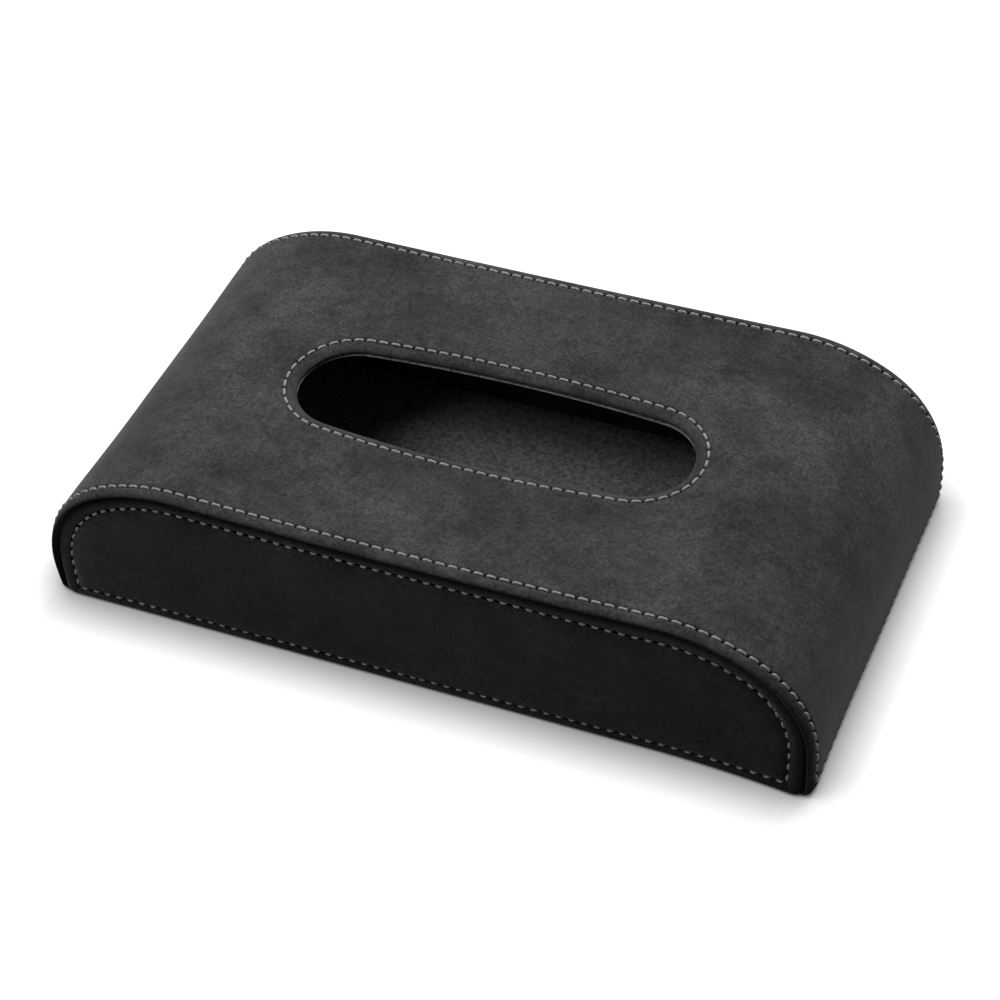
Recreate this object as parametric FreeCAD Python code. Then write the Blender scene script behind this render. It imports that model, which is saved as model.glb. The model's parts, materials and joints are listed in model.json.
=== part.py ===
import FreeCAD, Part
import math
import os

# A soft tissue box cover in leather over board, with a slot in its top and a base flap.
# Millimetres. X runs along the cover, Y from its front to its back, Z up.
# The origin is the middle of the base, on the surface that the cover stands on.

Vector = FreeCAD.Vector

# Overall size of the cover
cover_length = 260.0
cover_depth = 140.0
cover_height = 56.7

# Front view of the band: a top that dips in its middle, a slow shoulder, a quicker end and an upright
top_dip = 0.9
shoulder_radius = 60.0
shoulder_turn_degrees = 30.0
end_radius = 39.0

# Layers of the walls, from outside to inside
leather_thickness = 1.0
band_board_thickness = 1.2
lining_thickness = 0.6
panel_foam_thickness = 1.6
panel_board_thickness = 1.8

# The band's turned edges and how the end of a layer is held back from an edge
edge_turn_width = 7.5
lip_overhang = 1.0
lip_groove = 0.3
lip_round = 0.8
foot_radius = 2.5
board_setback = 1.0
lining_setback = 0.2

# The slot in the top, whose ends stay clear of the shoulders
slot_to_shoulder = 11.7
slot_width = 41.0
slot_end_radius = 18.0

# Long side panels
panel_corner_radius = 2.5
panel_edge_round = 1.8

# Thread and stitch rows
thread_diameter = 0.9
thread_clearance = 0.05
stitch_pitch = 4.2
stitch_gap = 0.7
panel_stitch_gap = 1.8
edge_stitch_inset = 3.9
slot_stitch_inset = 4.0
panel_stitch_inset = 5.5
base_stitch_height = 3.4
flap_stitch_inset = 4.0

# Base flap and its leather hinge
flap_recess = 0.6
flap_board_thickness = 2.0
flap_side_gap = 0.8
flap_corner_radius = 3.0
hinge_gap = 2.0
hinge_overlap = 10.0
hinge_leg_height = 12.0

# Ledge behind the front panel that the flap closes against
ledge_width = 14.0
ledge_board_thickness = 2.0
ledge_end_gap = 1.0
flap_to_ledge = 0.2

# Magnets in the ledge and in the flap
magnet_diameter = 10.0
magnet_thickness = 1.5
magnet_count = 3
magnet_end_inset = 35.2
magnet_clearance = 0.1

# How far a cutting shape runs past what it cuts
overrun = 5.0

# Sizes that follow from the ones above
shoulder_turn = math.radians(shoulder_turn_degrees)
shoulder_step = shoulder_radius - end_radius
crest = cover_length / 2 - end_radius - shoulder_step * math.sin(shoulder_turn)
top_lean = 2 * math.atan(top_dip / crest)
shoulder_start = crest - shoulder_radius * math.sin(top_lean)
slot_length = 2 * (shoulder_start - slot_to_shoulder)
top_middle = cover_height - top_dip

fold_thickness = 2 * leather_thickness
band_thickness = fold_thickness + band_board_thickness + lining_thickness
board_depth = fold_thickness + band_board_thickness
panel_shell = leather_thickness + panel_foam_thickness + panel_board_thickness
panel_thickness = panel_shell + lining_thickness
panel_face = cover_depth / 2 - lip_overhang
wall_inside = panel_face - panel_thickness
panel_inset = fold_thickness + lip_groove
thread_radius = thread_diameter / 2
row_half_width = thread_radius + thread_clearance
row_depth = thread_radius + thread_clearance

cavity_end = cover_length / 2 - band_thickness
flap_end = cavity_end - flap_side_gap
flap_front = flap_side_gap - wall_inside
flap_back = wall_inside - leather_thickness - hinge_gap
flap_board_bottom = flap_recess + leather_thickness
flap_board_top = flap_board_bottom + flap_board_thickness
flap_top = flap_board_top + lining_thickness
flap_leather_back = flap_back - hinge_overlap
ledge_bottom = flap_top + flap_to_ledge
ledge_board_bottom = ledge_bottom + lining_thickness
ledge_board_top = ledge_board_bottom + ledge_board_thickness
ledge_top = ledge_board_top + lining_thickness
ledge_end = cavity_end - ledge_end_gap
ledge_inside = ledge_width - wall_inside
magnet_line = (ledge_inside - wall_inside) / 2
magnet_spacing = 2 * (ledge_end - magnet_end_inset) / (magnet_count - 1)
magnet_radius = magnet_diameter / 2


def arch_wire(inset, base, corner, y):
    """Outline of the band's front view, moved in by inset and closed along z = base."""
    shoulder_z = cover_height - shoulder_radius
    end_x = cover_length / 2 - end_radius
    end_z = shoulder_z + shoulder_step * math.cos(shoulder_turn)
    side_x = cover_length / 2 - inset

    def around(x, z, radius, angle):
        return Vector(x + (radius - inset) * math.sin(angle), y, z + (radius - inset) * math.cos(angle))

    top = around(crest, shoulder_z, shoulder_radius, -top_lean)
    shoulder = around(crest, shoulder_z, shoulder_radius, shoulder_turn / 2)
    meet = around(crest, shoulder_z, shoulder_radius, shoulder_turn)
    bend = around(end_x, end_z, end_radius, (shoulder_turn + math.pi / 2) / 2)
    side = Vector(side_x, y, end_z)
    right = [Part.Arc(top, shoulder, meet), Part.Arc(meet, bend, side)]
    if corner > 0:
        above = Vector(side_x, y, base + corner)
        reach = corner / math.sqrt(2)
        middle = Vector(side_x - corner + reach, y, base + corner - reach)
        below = Vector(side_x - corner, y, base)
        right += [Part.LineSegment(side, above), Part.Arc(above, middle, below)]
    else:
        below = Vector(side_x, y, base)
        right += [Part.LineSegment(side, below)]
    half = Part.Wire([piece.toShape() for piece in right])
    mirrored = half.mirror(Vector(0, 0, 0), Vector(1, 0, 0))
    over_top = Part.Arc(Vector(-top.x, y, top.z), Vector(0, y, top_middle - inset), top).toShape()
    along_base = Part.LineSegment(below, Vector(-below.x, y, base)).toShape()
    edges = half.Edges + mirrored.Edges + [over_top, along_base]
    return Part.Wire(Part.__sortEdges__(edges))


def arch(inset, base, y_low, y_high, corner=0):
    """Solid under the band's profile, from y_low to y_high."""
    face = Part.Face(arch_wire(inset, base, corner, y_low))
    return face.extrude(Vector(0, y_high - y_low, 0))


def ply(outside, inside, base, y_low, y_high):
    """One bent layer of the band, between two insets."""
    hollow = arch(inside, base - overrun, y_low - overrun, y_high + overrun)
    return arch(outside, base, y_low, y_high).cut(hollow)


def slot_wire(grow, z):
    """Oval of the slot, grown outwards by grow: two end arcs and two long side arcs that meet them."""
    half_length = slot_length / 2
    half_width = slot_width / 2
    centre = half_length - slot_end_radius
    side_radius = (centre**2 + half_width**2 - slot_end_radius**2) / (2 * (half_width - slot_end_radius))
    drop = side_radius - half_width
    lean = math.atan2(centre, drop)
    end_arc = slot_end_radius + grow
    side_arc = side_radius + grow
    meet_x = centre + end_arc * math.sin(lean)
    meet_y = end_arc * math.cos(lean)
    corners = [Vector(sx * meet_x, sy * meet_y, z) for sx, sy in ((1, -1), (1, 1), (-1, 1), (-1, -1))]
    right = Part.Arc(corners[0], Vector(centre + end_arc, 0, z), corners[1])
    back = Part.Arc(corners[1], Vector(0, side_arc - drop, z), corners[2])
    left = Part.Arc(corners[2], Vector(-centre - end_arc, 0, z), corners[3])
    front = Part.Arc(corners[3], Vector(0, drop - side_arc, z), corners[0])
    return Part.Wire([arc.toShape() for arc in (right, back, left, front)])


def slot_prism(grow, z_low, z_high):
    return Part.Face(slot_wire(grow, z_low)).extrude(Vector(0, 0, z_high - z_low))


def block(x_low, x_high, y_low, y_high, z_low, z_high):
    corner = Vector(x_low, y_low, z_low)
    return Part.makeBox(x_high - x_low, y_high - y_low, z_high - z_low, corner)


def fuse(shapes):
    return shapes[0].fuse(shapes[1:]).removeSplitter()


def mirror_y(shape):
    return shape.mirror(Vector(0, 0, 0), Vector(0, 1, 0))


def mirror_x(shape):
    return shape.mirror(Vector(0, 0, 0), Vector(1, 0, 0))


# Stitches

def thread_stitch(length):
    """One visible stitch: a round-ended length of thread along X, about the origin."""
    reach = length / 2
    flat = reach - thread_radius
    slant = thread_radius / math.sqrt(2)
    left = Part.Arc(Vector(-reach, 0, 0), Vector(-flat - slant, 0, slant), Vector(-flat, 0, thread_radius))
    middle = Part.LineSegment(Vector(-flat, 0, thread_radius), Vector(flat, 0, thread_radius))
    right = Part.Arc(Vector(flat, 0, thread_radius), Vector(flat + slant, 0, slant), Vector(reach, 0, 0))
    axis = Part.LineSegment(Vector(reach, 0, 0), Vector(-reach, 0, 0))
    outline = Part.Wire([piece.toShape() for piece in (left, middle, right, axis)])
    return Part.Face(outline).revolve(Vector(0, 0, 0), Vector(1, 0, 0), 360)


def stitch_row(path, gap):
    """Stitches along a wire, a whole number of them, each centred on its own length of it."""
    count = max(1, round(path.Length / stitch_pitch))
    step = path.Length / count
    places = path.discretize(Number=2 * count + 1)
    pattern = thread_stitch(step - gap)
    stitches = []
    for number in range(count):
        start, centre, end = places[2 * number : 2 * number + 3]
        turn = FreeCAD.Rotation(Vector(1, 0, 0), end - start)
        stitch = pattern.copy()
        stitch.Placement = FreeCAD.Placement(centre, turn)
        stitches.append(stitch)
    return Part.makeCompound(stitches)


def stitch_rows(stretches, gap):
    """Rows that meet in a needle hole at each corner."""
    rows = [stitch_row(stretch, gap) for stretch in stretches]
    return Part.makeCompound([stitch for row in rows for stitch in row.Solids])


def arch_stretches(inset, base, y):
    """The bent part and the straight foot of the band's front view, as two wires."""
    edges = arch_wire(inset, base, 0, y).Edges
    bent = [edge for edge in edges if edge.BoundBox.ZMax > base + leather_thickness]
    foot = [edge for edge in edges if edge.BoundBox.ZMax < base + leather_thickness]
    return Part.Wire(Part.__sortEdges__(bent)), Part.Wire(foot)


def panel_row_wire(spread, y):
    """The closed row on a side panel, or a line beside it that lies out by spread."""
    return arch_wire(panel_inset + panel_stitch_inset - spread, base_stitch_height - spread, 0, y)


# Band

def band_leather():
    half = cover_depth / 2
    inside = half - edge_turn_width
    outer = ply(0, leather_thickness, 0, -half, half)
    front_turn = ply(leather_thickness, fold_thickness, 0, -half, -inside)
    around_slot = slot_prism(edge_turn_width, cover_height - overrun, cover_height + overrun)
    slot_turn = ply(leather_thickness, fold_thickness, 0, -half, half).common(around_slot)
    hem_end = cover_length / 2 - leather_thickness / 2
    hem = block(cavity_end, hem_end, -wall_inside, wall_inside, 0, leather_thickness)
    shell = fuse([outer, front_turn, mirror_y(front_turn), slot_turn, hem, mirror_x(hem)])
    shell = shell.cut(slot_prism(0, cover_height - overrun, cover_height + overrun))
    shell = shell.makeFillet(min(lip_round, leather_thickness * 4 / 5), lip_edges(shell))
    rounded_foot = arch(0, 0, -half - overrun, half + overrun, foot_radius)
    return shell.common(rounded_foot).cut(band_grooves())


def lip_edges(shell):
    """The edges of the turned lips along the cover's long sides and around the slot."""
    slot_edge = slot_wire(0, 0)
    edges = []
    for edge in shell.Edges:
        box = edge.BoundBox
        on_side = box.YMin * box.YMax > (cover_depth / 2 - lip_round) ** 2
        above_foot = box.ZMax > leather_thickness / 2
        ends = [Vector(point.X, point.Y, 0) for point in edge.Vertexes]
        on_slot = all(slot_edge.distToShape(Part.Vertex(end))[0] < lip_groove for end in ends)
        if (on_side and above_foot) or (on_slot and box.ZLength < leather_thickness):
            edges.append(edge)
    return edges


def band_grooves():
    """Shallow channels that the band's stitches lie in."""
    line = cover_depth / 2 - edge_stitch_inset
    low = base_stitch_height - row_half_width
    front = arch(-overrun, low, -line - row_half_width, -line + row_half_width)
    front = front.cut(arch(row_depth, low - overrun, -line - overrun, -line + overrun))
    ring = slot_prism(slot_stitch_inset + row_half_width, cover_height - overrun, cover_height + overrun)
    core = slot_prism(slot_stitch_inset - row_half_width, cover_height - 2 * overrun, cover_height + 2 * overrun)
    ring = ring.cut(core).cut(arch(row_depth, 0, -line, line))
    half = cover_length / 2
    high = base_stitch_height + row_half_width
    hem = block(half - row_depth, half + overrun, -line, line, low, high)
    return fuse([front, mirror_y(front), ring, hem, mirror_x(hem)])


def band_foam():
    inside = cover_depth / 2 - edge_turn_width
    layer = ply(leather_thickness, fold_thickness, leather_thickness, -inside, inside)
    return layer.cut(slot_prism(edge_turn_width, cover_height - overrun, cover_height + overrun))


def band_board():
    layer = ply(fold_thickness, board_depth, leather_thickness, -wall_inside, wall_inside)
    return layer.cut(slot_prism(board_setback, cover_height - 2 * overrun, cover_height + overrun))


def band_lining():
    layer = ply(board_depth, band_thickness, leather_thickness, -wall_inside, wall_inside)
    return layer.cut(slot_prism(lining_setback, cover_height - 2 * overrun, cover_height + overrun))


def band_stitching():
    """The row along a long edge of the band, from the foot of one end to the foot of the other."""
    bent, foot = arch_stretches(0, base_stitch_height, edge_stitch_inset - cover_depth / 2)
    return stitch_row(bent, stitch_gap)


def slot_stitching():
    """The row around the slot, which follows the dip of the top."""
    inside_row = slot_prism(slot_stitch_inset, cover_height - overrun, cover_height + overrun)
    plug = arch(0, 0, -cover_depth / 2, cover_depth / 2).common(inside_row)
    top = max(plug.Faces, key=lambda face: face.CenterOfMass.z)
    return stitch_row(top.OuterWire, stitch_gap)


def left_hem_stitching():
    """The row across the foot of the left end, between the two edge rows."""
    reach = cover_depth / 2 - edge_stitch_inset - stitch_gap
    start = Vector(-cover_length / 2, -reach, base_stitch_height)
    end = Vector(-cover_length / 2, reach, base_stitch_height)
    return stitch_row(Part.Wire([Part.makeLine(start, end)]), stitch_gap)


# Side panels, modelled at the front and mirrored to the back

def panel_leather():
    front = -panel_face
    back = front + panel_shell
    tray = arch(panel_inset, 0, front, back, panel_corner_radius)
    rim = [edge for edge in tray.Edges if edge.BoundBox.YMax < front + lip_groove]
    tray = tray.makeFillet(min(panel_edge_round, leather_thickness * 2), rim)
    inside = panel_inset + leather_thickness
    corner = panel_corner_radius - leather_thickness
    tray = tray.cut(arch(inside, leather_thickness, front + leather_thickness, back + overrun, corner))
    outer = Part.Face(panel_row_wire(row_half_width, front - overrun)).extrude(Vector(0, overrun + row_depth, 0))
    inner = Part.Face(panel_row_wire(-row_half_width, front - 2 * overrun)).extrude(Vector(0, 4 * overrun, 0))
    return tray.cut(outer.cut(inner))


def panel_filling(low, high):
    """A sheet inside the leather, between two depths behind the panel's face."""
    inset = panel_inset + leather_thickness
    corner = panel_corner_radius - leather_thickness
    return arch(inset, leather_thickness, low - panel_face, high - panel_face, corner)


def panel_foam():
    foam = panel_filling(leather_thickness, leather_thickness + panel_foam_thickness)
    rim = [edge for edge in foam.Edges if edge.BoundBox.YMax < leather_thickness - panel_face + lip_groove]
    return foam.makeFillet(min(panel_foam_thickness, leather_thickness) / 2, rim)


def panel_board():
    return panel_filling(leather_thickness + panel_foam_thickness, panel_shell)


def panel_lining():
    low = panel_shell - panel_face
    corner = panel_corner_radius - leather_thickness
    return arch(panel_inset + lip_groove, leather_thickness, low, -wall_inside, corner)


def panel_stitching():
    stretches = arch_stretches(panel_inset + panel_stitch_inset, base_stitch_height, -panel_face)
    return stitch_rows(stretches, panel_stitch_gap)


# Ledge inside the front panel

def magnet_row(z_low, radius, height):
    first = -(magnet_count - 1) * magnet_spacing / 2
    discs = []
    for number in range(magnet_count):
        place = Vector(first + number * magnet_spacing, magnet_line, z_low)
        discs.append(Part.makeCylinder(radius, height, place))
    return Part.makeCompound(discs)


def ledge_board():
    inside = ledge_inside - lining_thickness
    end = ledge_end - lining_thickness
    board = block(-end, end, -wall_inside, inside, ledge_board_bottom, ledge_board_top)
    return board.cut(magnet_row(ledge_board_bottom, magnet_radius + magnet_clearance, magnet_thickness))


def ledge_cover():
    wrap = block(-ledge_end, ledge_end, -wall_inside, ledge_inside, ledge_bottom, ledge_top)
    inside = ledge_inside - lining_thickness
    end = ledge_end - lining_thickness
    return wrap.cut(block(-end, end, -wall_inside - overrun, inside, ledge_board_bottom, ledge_board_top))


def ledge_magnets():
    return magnet_row(ledge_board_bottom, magnet_radius, magnet_thickness)


# Base flap and hinge

def flap_slab(inset, z_low, z_high, corner):
    slab = block(inset - flap_end, flap_end - inset, flap_front + inset, flap_back, z_low, z_high)
    uprights = []
    for edge in slab.Edges:
        at_front = edge.CenterOfMass.y < flap_front + inset + corner
        if edge.BoundBox.ZLength > (z_high - z_low) / 2 and at_front:
            uprights.append(edge)
    return slab.makeFillet(corner, uprights)


def flap_leather():
    tray = flap_slab(0, flap_recess, flap_board_top, flap_corner_radius)
    corner = flap_corner_radius - leather_thickness
    room = flap_slab(leather_thickness, flap_board_bottom, flap_board_top + overrun, corner)
    strip = block(-flap_end, flap_end, flap_leather_back, flap_back, flap_recess, flap_board_bottom)
    return tray.cut(room).cut(strip).cut(flap_groove())


def flap_row_wire(spread):
    """The row around the underside of the flap, or a line beside it that lies out by spread."""
    end = flap_end - flap_stitch_inset + spread
    front = flap_front + flap_stitch_inset - spread
    back = flap_leather_back - flap_stitch_inset + spread
    corners = [(-end, front), (end, front), (end, back), (-end, back), (-end, front)]
    return Part.makePolygon([Vector(x, y, flap_recess) for x, y in corners])


def flap_groove():
    outer = Part.Face(flap_row_wire(row_half_width)).extrude(Vector(0, 0, row_depth))
    inner = Part.Face(flap_row_wire(-row_half_width)).extrude(Vector(0, 0, row_depth))
    return outer.cut(inner)


def flap_stitching():
    sides = [Part.Wire([edge]) for edge in flap_row_wire(0).Edges]
    return stitch_rows(sides, stitch_gap)


def flap_board():
    corner = flap_corner_radius - leather_thickness
    board = flap_slab(leather_thickness, flap_board_bottom, flap_board_top, corner)
    edge = block(-flap_end, flap_end, flap_back - lining_thickness, flap_back, flap_board_bottom, flap_board_top)
    pockets = magnet_row(flap_board_top - magnet_thickness, magnet_radius + magnet_clearance, magnet_thickness)
    return board.cut(edge).cut(pockets)


def flap_lining():
    """The suede on the flap's inside, turned down over the board's back edge."""
    sheet = flap_slab(0, flap_board_top, flap_top, flap_corner_radius)
    end = flap_end - leather_thickness
    turn = block(-end, end, flap_back - lining_thickness, flap_back, flap_board_bottom, flap_board_top)
    return fuse([sheet, turn])


def flap_magnets():
    return magnet_row(flap_board_top - magnet_thickness, magnet_radius, magnet_thickness)


def hinge_strip():
    """One strip of leather: a leg on the back wall, a bend, and a tongue under the flap's back edge."""
    leg = block(-flap_end, flap_end, wall_inside - leather_thickness, wall_inside, flap_recess, hinge_leg_height)
    tongue = block(-flap_end, flap_end, flap_leather_back, wall_inside, flap_recess, flap_board_bottom)
    return fuse([leg, tongue])


def parts():
    front_edge = band_stitching()
    left_hem = left_hem_stitching()
    panel = {
        "leather": panel_leather(),
        "foam": panel_foam(),
        "board": panel_board(),
        "lining": panel_lining(),
        "stitching": panel_stitching(),
    }
    nodes = {
        "band_leather": band_leather(),
        "band_foam": band_foam(),
        "band_board": band_board(),
        "band_lining": band_lining(),
        "band_front_stitching": front_edge,
        "band_back_stitching": mirror_y(front_edge),
        "slot_stitching": slot_stitching(),
        "left_hem_stitching": left_hem,
        "right_hem_stitching": mirror_x(left_hem),
        "ledge_board": ledge_board(),
        "ledge_cover": ledge_cover(),
        "ledge_magnets": ledge_magnets(),
        "hinge_strip": hinge_strip(),
        "flap_leather": flap_leather(),
        "flap_board": flap_board(),
        "flap_lining": flap_lining(),
        "flap_magnets": flap_magnets(),
        "flap_stitching": flap_stitching(),
    }
    for layer, shape in panel.items():
        nodes["front_panel_" + layer] = shape
        nodes["back_panel_" + layer] = mirror_y(shape)
    return nodes


os.makedirs("parts", exist_ok=True)
for name, shape in parts().items():
    shape.exportStep("parts/" + name + ".step")
    print(name, len(shape.Solids), "solids", round(shape.Volume), "mm3", "valid" if shape.isValid() else "NOT VALID")
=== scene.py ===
import json
import math

import bmesh
import bpy
import numpy as np
from bpy.props import FloatProperty, FloatVectorProperty, PointerProperty
from mathutils import Matrix, Vector
from mathutils.geometry import delaunay_2d_cdt
from mathutils.kdtree import KDTree


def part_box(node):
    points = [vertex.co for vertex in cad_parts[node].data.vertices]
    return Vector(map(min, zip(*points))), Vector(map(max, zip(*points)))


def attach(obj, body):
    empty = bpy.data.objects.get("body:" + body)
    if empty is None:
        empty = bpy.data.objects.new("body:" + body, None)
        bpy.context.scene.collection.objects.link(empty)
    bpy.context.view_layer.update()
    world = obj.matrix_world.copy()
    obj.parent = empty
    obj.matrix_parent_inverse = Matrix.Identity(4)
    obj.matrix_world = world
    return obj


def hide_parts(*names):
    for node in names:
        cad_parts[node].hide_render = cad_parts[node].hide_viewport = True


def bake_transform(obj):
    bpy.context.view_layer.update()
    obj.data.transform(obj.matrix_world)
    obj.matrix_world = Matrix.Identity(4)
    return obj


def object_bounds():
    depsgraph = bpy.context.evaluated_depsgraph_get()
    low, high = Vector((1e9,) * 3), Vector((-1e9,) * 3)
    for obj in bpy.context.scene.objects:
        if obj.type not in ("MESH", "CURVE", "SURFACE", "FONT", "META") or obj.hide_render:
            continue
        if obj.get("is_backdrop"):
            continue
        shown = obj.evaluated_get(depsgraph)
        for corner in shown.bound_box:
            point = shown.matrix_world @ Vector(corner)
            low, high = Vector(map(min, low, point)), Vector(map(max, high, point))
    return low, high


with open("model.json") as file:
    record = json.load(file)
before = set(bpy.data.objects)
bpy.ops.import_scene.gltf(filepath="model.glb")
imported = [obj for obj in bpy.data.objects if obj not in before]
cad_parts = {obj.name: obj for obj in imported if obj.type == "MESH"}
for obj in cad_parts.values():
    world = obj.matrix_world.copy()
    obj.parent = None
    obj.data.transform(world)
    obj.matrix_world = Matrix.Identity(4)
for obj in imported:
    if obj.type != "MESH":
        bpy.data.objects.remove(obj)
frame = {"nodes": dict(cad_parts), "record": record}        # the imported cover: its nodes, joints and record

bl_info = {
    "name": "Leather tissue box cover",
    "version": (1, 0, 0),
    "blender": (4, 5, 0),
    "location": "3D View > Sidebar > Box Cover",
    "description": "Dresses a leather-covered box cover in its skins, linings, thread and boards",
    "category": "Object",
}

CAD_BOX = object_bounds()
SHELL = "shell"
FLAP = "base_flap"
MM = 0.001
SQUARE = 0.01 * MM       # a bend that is as good as square
BEVEL = 0.15 * MM        # the broken edge of a board or a lining


def span(node, axis):
    """How far a node of the frame reaches along an axis."""
    low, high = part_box(node)
    return high[axis] - low[axis]


def size(name, default, description):
    return FloatProperty(name=name, description=description, default=default, unit="LENGTH", precision=5)


def plain(name, default, description):
    return FloatProperty(name=name, description=description, default=default, precision=4)


def angle(name, degrees, description):
    return FloatProperty(name=name, description=description, default=math.radians(degrees), subtype="ANGLE")


def spot(name, default, description):
    return FloatVectorProperty(name=name, description=description, default=default, subtype="TRANSLATION")


def colour(name, grey, description):
    default = grey if isinstance(grey, tuple) else (grey, grey, grey)
    return FloatVectorProperty(name=name, description=description, default=default, size=3, subtype="COLOR")


class CoverSizes(bpy.types.PropertyGroup):
    """The cover as it is cut, glued and turned."""

    length: size("Length", span("band_leather", 0), "Cover from end to end")
    depth: size("Depth", span("band_leather", 1), "Cover from front lip to back lip")
    height: size("Height", span("band_leather", 2), "Cover from table to top")
    top_dip: size("Top dip", 0.9 * MM, "How far the middle of the top lies below its crests")
    shoulder_radius: size("Shoulder radius", 60 * MM, "Slow bend beyond the crest")
    shoulder_turn: angle("Shoulder turn", 30, "How far the slow bend turns down")
    end_radius: size("End radius", 39 * MM, "Quick bend down to the upright end")
    foot_radius: size("Foot radius", 2.5 * MM, "Outer bend of the hem under each end")
    leather: size("Leather", 1 * MM, "Thickness of the skin")
    band_board: size("Band board", 1.2 * MM, "Thickness of the board in the band")
    lining: size("Lining", span("front_panel_lining", 1), "Thickness of the suede lining")
    edge_turn: size("Edge turn", 7.5 * MM, "Width of the skin turned back at an edge")
    lip_width: size("Lip width", 3.6 * MM, "How far in from its edge a turned lip starts to round over")
    lip_depth: size("Lip depth", 1.5 * MM, "How far a turned lip rounds down at its edge")
    lip_start: size("Lip start", 2.2 * MM, "Where the fine rings of a turned lip begin")
    slot_lip_width: size("Slot lip width", 4.4 * MM, "How far out from the slot its lip starts to round")
    slot_lip_depth: size("Slot lip depth", 2 * MM, "How far the lip of the slot rounds down at its edge")
    band_padding: size("Band padding", 0.45 * MM, "How far the band swells over its foam")
    padding_reach: size("Padding reach", 3 * MM, "How soon the band swells beside its rows")
    board_setback: size("Board setback", 1 * MM, "Board held back from the edge of the slot")
    lining_setback: size("Lining setback", 0.2 * MM, "Lining held back from the edge of the slot")
    slot_length: size("Slot length", 134.9 * MM, "Slot from end to end")
    slot_width: size("Slot width", 41 * MM, "Slot at its widest")
    slot_end_radius: size("Slot end radius", 18 * MM, "Bend of the slot's two ends")
    panel_face: size("Panel face", -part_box("front_panel_leather")[0].y, "Middle to a panel's face")
    panel_inset: size("Panel inset", 2.3 * MM, "Panel's edge inside the band's outline")
    panel_shell: size("Panel shell", span("front_panel_leather", 1), "Panel's skin, foam and board")
    panel_foam: size("Panel foam", span("front_panel_foam", 1), "Thickness of the panel's foam")
    panel_corner: size("Panel corner", 2.5 * MM, "Bend of the panel's lower corners")
    panel_pillow: size("Panel pillow", 0.5 * MM, "How far a panel's field swells over its foam")
    flap_corner: size("Flap corner", 3 * MM, "Bend of the flap's front corners")
    sag: size("Sag", 1.98 * MM, "How far the soft top sinks between its front and back edges")
    front_droop: size("Front droop", 0.67 * MM, "How far the front lip hangs lower at its middle")
    back_rise: size("Back rise", 1.2 * MM, "How far the back lip stands higher at its middle")
    corner_tuck: size("Corner tuck", 1.2 * MM, "How far each lip draws in at its foot")
    tuck_height: size("Tuck height", 16 * MM, "Where the lips start to draw in")
    foot_flare: size("Foot flare", 1.4 * MM, "How far a panel's foot stands out")
    flare_height: size("Flare height", 30 * MM, "Where a panel starts to flare")
    splay: size("Splay", 3.6 * MM, "How far the front right corner is pulled out of square at its foot")
    panel_rim: size("Panel rim", 2.3 * MM, "How far a panel's leather rounds back at its edge")
    panel_lining_inset: size("Panel lining inset", 0.3 * MM, "Panel's lining held back from its edge")
    hinge_bend: size("Hinge bend", 0.2 * MM, "Inner bend of the hinge strip")
    ledge_bend: size("Ledge bend", 0.7 * MM, "Outer bend of the suede round the ledge")


class SewingSizes(bpy.types.PropertyGroup):
    """Thread and the rows that it is sewn in."""

    thread: size("Thread", 0.9 * MM, "Thickness of the thread")
    pitch: size("Pitch", 4.2 * MM, "From one needle hole to the next")
    gap: size("Gap", 1.05 * MM, "Leather bared between stitches")
    panel_gap: size("Panel gap", 2.2 * MM, "Leather bared between the panels' stitches")
    edge_inset: size("Edge inset", 3.9 * MM, "Edge rows from the lip")
    slot_inset: size("Slot inset", 4 * MM, "Slot row from the slot")
    panel_row: size("Panel row", 5.5 * MM, "Panel row from the panel's edge")
    shoulder_dip: size("Shoulder dip", 1.1 * MM, "How much further in the panel row lies at its right end")
    panel_sink: size("Panel sink", 0.9 * MM, "How much deeper the panels' stitches lie")
    base_row: size("Base row", 3.4 * MM, "Lowest rows from the table")
    flap_row: size("Flap row", 4 * MM, "Flap row from the flap's edge")


class CoverColours(bpy.types.PropertyGroup):
    """Colours of the finishes."""

    suede: colour("Suede leather", 0.066, "Outer skins")
    # Painted shade: the same suede as the outer skins, darker because the long sides get less light.
    panel: colour("Panel suede", 0.044, "Skins of the two long sides, whose nap lies the other way")
    # Painted light: paler than the cloth's own grey, so that the dim inside, seen through the slot, looks
    # lit.
    lining: colour("Suede lining", 0.28, "Inside of the walls and of the flap")
    thread: colour("Thread", 0.42, "Stitches")
    board: colour("Board", (0.045, 0.043, 0.042), "Stiff black fibreboard")
    foam: colour("Foam", (0.42, 0.42, 0.40), "Thin foam")
    magnet: colour("Magnet", (0.58, 0.57, 0.55), "Nickel-plated discs")
    floor: colour("Floor", 0.5, "Table under the cover, besides its glow")
    cloud_start: spot("Cloud start", (0.734, 2.507, 2.007), "Where the clouds and the grain start")
    dark_floor: colour("Dark floor", 0.12, "The table as the light that falls back on the cover meets it")


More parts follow.
